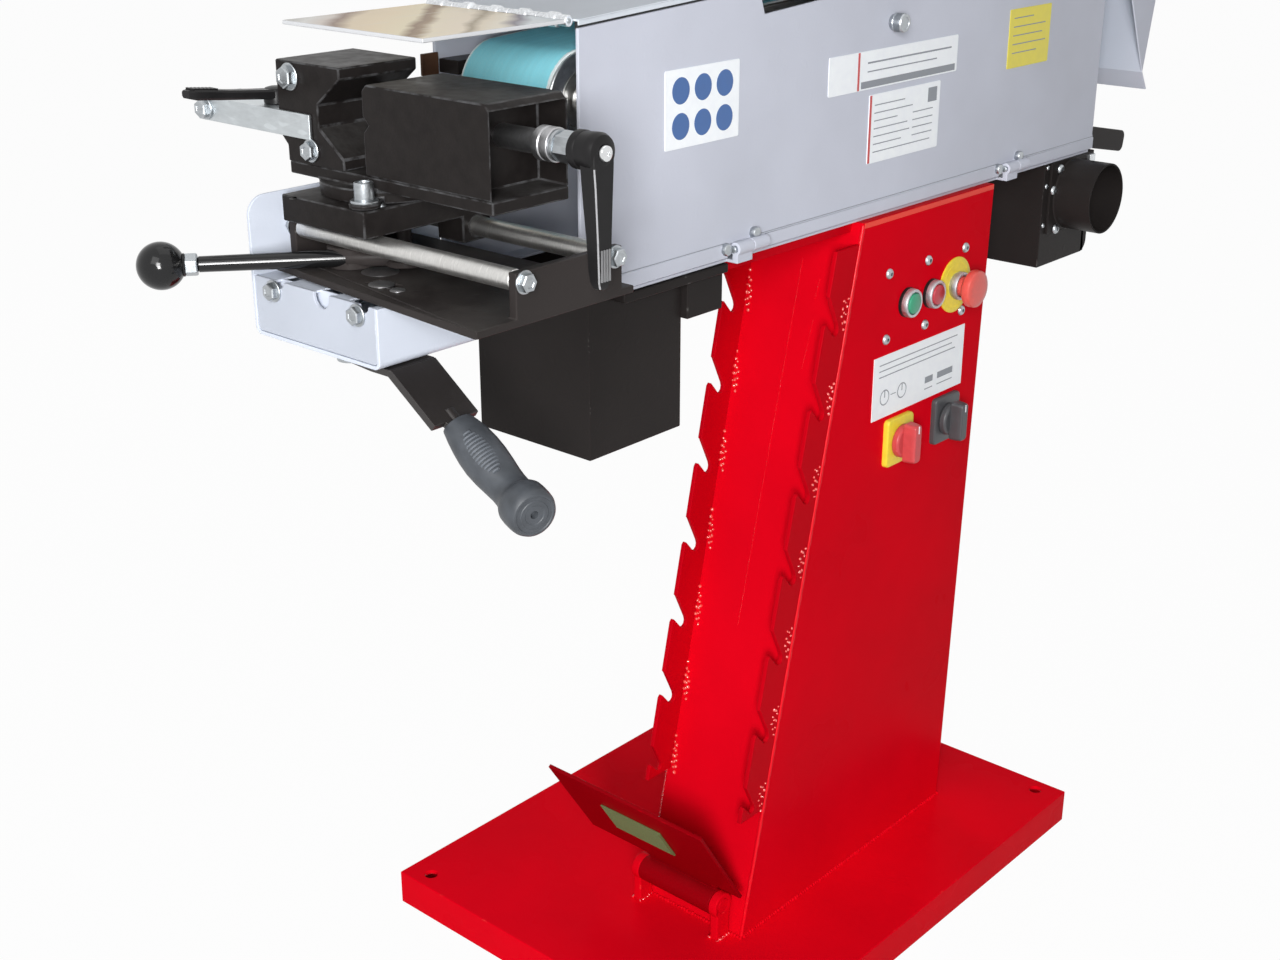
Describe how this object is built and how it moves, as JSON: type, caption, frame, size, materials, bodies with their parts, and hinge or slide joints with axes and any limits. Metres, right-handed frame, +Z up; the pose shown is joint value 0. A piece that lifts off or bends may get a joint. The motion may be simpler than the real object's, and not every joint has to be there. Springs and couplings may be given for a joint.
{
  "type": "belt grinder",
  "caption": "Pedestal belt grinder: hooded abrasive belt over a drive wheel and a small contact roller, tube-notching vise on a lever-fed slide, foot pedal and hose spigot.",
  "frame": {"origin": "centre of the base pan's underside, on the floor", "axes": "+X from the notching vise to the drive wheel, -Y towards the operator and the controls, +Z up"},
  "size_m": [1.2958, 0.552, 1.0623],
  "materials": {
    "red_paint": "semi-gloss",
    "grey_paint": "semi-gloss",
    "black_paint": "semi-gloss",
    "motor_paint": "semi-gloss",
    "zinc": "zinc plated",
    "steel": "ground",
    "polished_steel": "polished",
    "chrome": "polished",
    "cast_iron": "painted black",
    "aluminium": "machined",
    "abrasive": "coated abrasive",
    "tyre_rubber": "moulded",
    "grip_rubber": "moulded",
    "pad_rubber": "matt",
    "black_plastic": "gloss",
    "dark_plastic": "matt",
    "yellow_plastic": "matt",
    "red_plastic": "satin",
    "green_plastic": "satin",
    "plate_film": "printed film"
  },
  "bodies": {
    "stand": {"base_pan": "red_paint", "column": "red_paint", "rack_left": "red_paint", "rack_right": "red_paint", "pedal_brackets": "red_paint", "pedal_shaft": "zinc", "main_beam": "black_paint", "housing_body": "grey_paint", "front_tray": "grey_paint", "spark_box": "black_paint", "extraction_box": "black_paint", "extraction_spigot": "black_paint", "platen": "steel", "motor_body": "motor_paint", "motor_fan_cover": "motor_paint", "terminal_box": "motor_paint", "abrasive_belt": "abrasive", "frame_bolts": "zinc", "instruction_plate": "plate_film", "button_bezels": "chrome", "switch_plates": "yellow_plastic", "pivot_pins": "zinc"},
    "pedal": {"foot_pedal": "red_paint", "pedal_pad": "pad_rubber"},
    "door": {"side_door": "grey_paint", "side_plates": "plate_film"},
    "door_knob": {"door_screw": "zinc"},
    "lid": {"top_lid": "grey_paint", "lid_pins": "zinc"},
    "flap": {"front_flap": "polished_steel"},
    "guard": {"rear_guard": "grey_paint"},
    "tension": {"tension_arm": "steel", "roller_axle": "chrome"},
    "roller": {"front_roller": "aluminium", "roller_bearings": "steel"},
    "wheel": {"drive_wheel": "aluminium", "wheel_tyre": "tyre_rubber", "motor_shaft": "steel"},
    "tension_handle": {"tension_lever": "black_paint"},
    "table": {"feed_table": "black_paint", "guide_rods": "polished_steel", "rod_bolts": "zinc"},
    "slide": {"carriage": "black_paint"},
    "vise": {"vise_base": "black_paint", "fixed_jaw": "cast_iron", "vise_bolts": "zinc", "stop_bracket": "zinc"},
    "stop": {"stop_lever": "black_plastic"},
    "jaw": {"moving_jaw": "cast_iron"},
    "crank": {"spindle": "steel", "crank_arm": "black_paint"},
    "clamp": {"clamp_lever": "black_paint", "ball_knob": "black_plastic"},
    "feed": {"feed_lever": "black_paint", "feed_grip": "grip_rubber"},
    "start": {"start_button": "green_plastic"},
    "halt": {"stop_button": "red_plastic"},
    "emergency": {"estop_button": "red_plastic"},
    "power": {"main_switch": "red_plastic"},
    "mode": {"mode_switch": "dark_plastic"}
  },
  "joints": [
    {"name": "pedal_press", "type": "hinge", "parent": "stand", "child": "pedal", "pos_m": [-0.17709, -0.05, 0.08], "axis": [0, -1, 0], "range_deg": [0, 18], "stiffness_Nm_per_rad": 20, "springref_deg": -5.73},
    {"name": "door_open", "type": "hinge", "parent": "stand", "child": "door", "pos_m": [0, -0.126, 0.798], "axis": [1, 0, 0], "range_deg": [0, 90]},
    {"name": "door_knob_turn", "type": "hinge", "parent": "door", "child": "door_knob", "pos_m": [0.039, -0.12, 0.972], "axis": [0, 1, 0], "continuous": true},
    {"name": "lid_open", "type": "hinge", "parent": "stand", "child": "lid", "pos_m": [-0.39431, 0.054, 1.01299], "axis": [-0.9986, 0, -0.0523], "range_deg": [0, 95]},
    {"name": "flap_lift", "type": "hinge", "parent": "lid", "child": "flap", "pos_m": [-0.39931, -0.036, 1.01273], "axis": [0, 1, 0], "range_deg": [0, 110]},
    {"name": "guard_lift", "type": "hinge", "parent": "lid", "child": "guard", "pos_m": [0.47068, -0.036, 1.05832], "axis": [0, -1, 0], "range_deg": [0, 80]},
    {"name": "belt_tension", "type": "slide", "parent": "stand", "child": "tension", "axis": [1, 0, 0], "range_m": [0, 0.008]},
    {"name": "tension_lever_turn", "type": "hinge", "parent": "stand", "child": "tension_handle", "pos_m": [0.48, -0.1025, 0.7995], "axis": [0, -1, 0], "range_deg": [0, 60.1]},
    {"name": "wheel_spin", "type": "hinge", "parent": "stand", "child": "wheel", "pos_m": [0.42, -0.036, 0.93], "axis": [0, 1, 0], "continuous": true},
    {"name": "roller_spin", "type": "hinge", "parent": "tension", "child": "roller", "pos_m": [-0.356, -0.036, 0.945], "axis": [0, 1, 0], "continuous": true},
    {"name": "table_feed", "type": "slide", "parent": "stand", "child": "table", "axis": [1, 0, 0], "range_m": [-0.02, 0.01]},
    {"name": "feed_lever_swing", "type": "hinge", "parent": "stand", "child": "feed", "pos_m": [-0.56, -0.0265, 0.768], "axis": [0, 0, 1], "range_deg": [-23, 12]},
    {"name": "carriage_shift", "type": "slide", "parent": "table", "child": "slide", "axis": [0, 1, 0], "range_m": [-0.09, 0]},
    {"name": "clamp_turn", "type": "hinge", "parent": "slide", "child": "clamp", "pos_m": [-0.515, -0.045, 0.839], "axis": [0, 0, 1], "range_deg": [0, 40]},
    {"name": "vise_swivel", "type": "hinge", "parent": "slide", "child": "vise", "pos_m": [-0.508, -0.02, 0.886], "axis": [0, 0, 1], "range_deg": [-30, 0]},
    {"name": "stop_swing", "type": "hinge", "parent": "vise", "child": "stop", "pos_m": [-0.533, 0.08, 0.96], "axis": [0, 0, 1], "range_deg": [-90, 0]},
    {"name": "jaw_travel", "type": "slide", "parent": "vise", "child": "jaw", "axis": [0, 1, 0], "range_m": [-0.045, 0.015]},
    {"name": "crank_turn", "type": "hinge", "parent": "jaw", "child": "crank", "pos_m": [-0.508, -0.2, 0.945], "axis": [0, 1, 0], "range_deg": [-3245, 1085]},
    {"name": "start_press", "type": "slide", "parent": "stand", "child": "start", "axis": [0, 1, 0], "range_m": [0, 0.003], "stiffness_N_per_m": 800, "springref_m": -0.002},
    {"name": "stop_press", "type": "slide", "parent": "stand", "child": "halt", "axis": [0, 1, 0], "range_m": [0, 0.003], "stiffness_N_per_m": 800, "springref_m": -0.002},
    {"name": "emergency_press", "type": "slide", "parent": "stand", "child": "emergency", "axis": [0, 1, 0], "range_m": [0, 0.004]},
    {"name": "power_turn", "type": "hinge", "parent": "stand", "child": "power", "pos_m": [0.079, -0.131, 0.54], "axis": [0, 1, 0], "range_deg": [0, 90]},
    {"name": "mode_turn", "type": "hinge", "parent": "stand", "child": "mode", "pos_m": [0.17, -0.131, 0.54], "axis": [0, 1, 0], "range_deg": [0, 90]}
  ],
  "couplings": [
    {"joint": "roller_spin", "follows": "wheel_spin", "ratio": 2.6316},
    {"joint": "tension_lever_turn", "follows": "belt_tension", "rad_per_m": 130.9},
    {"joint": "feed_lever_swing", "follows": "table_feed", "rad_per_m": 20},
    {"joint": "crank_turn", "follows": "jaw_travel", "rad_per_m": 1256.6}
  ]
}
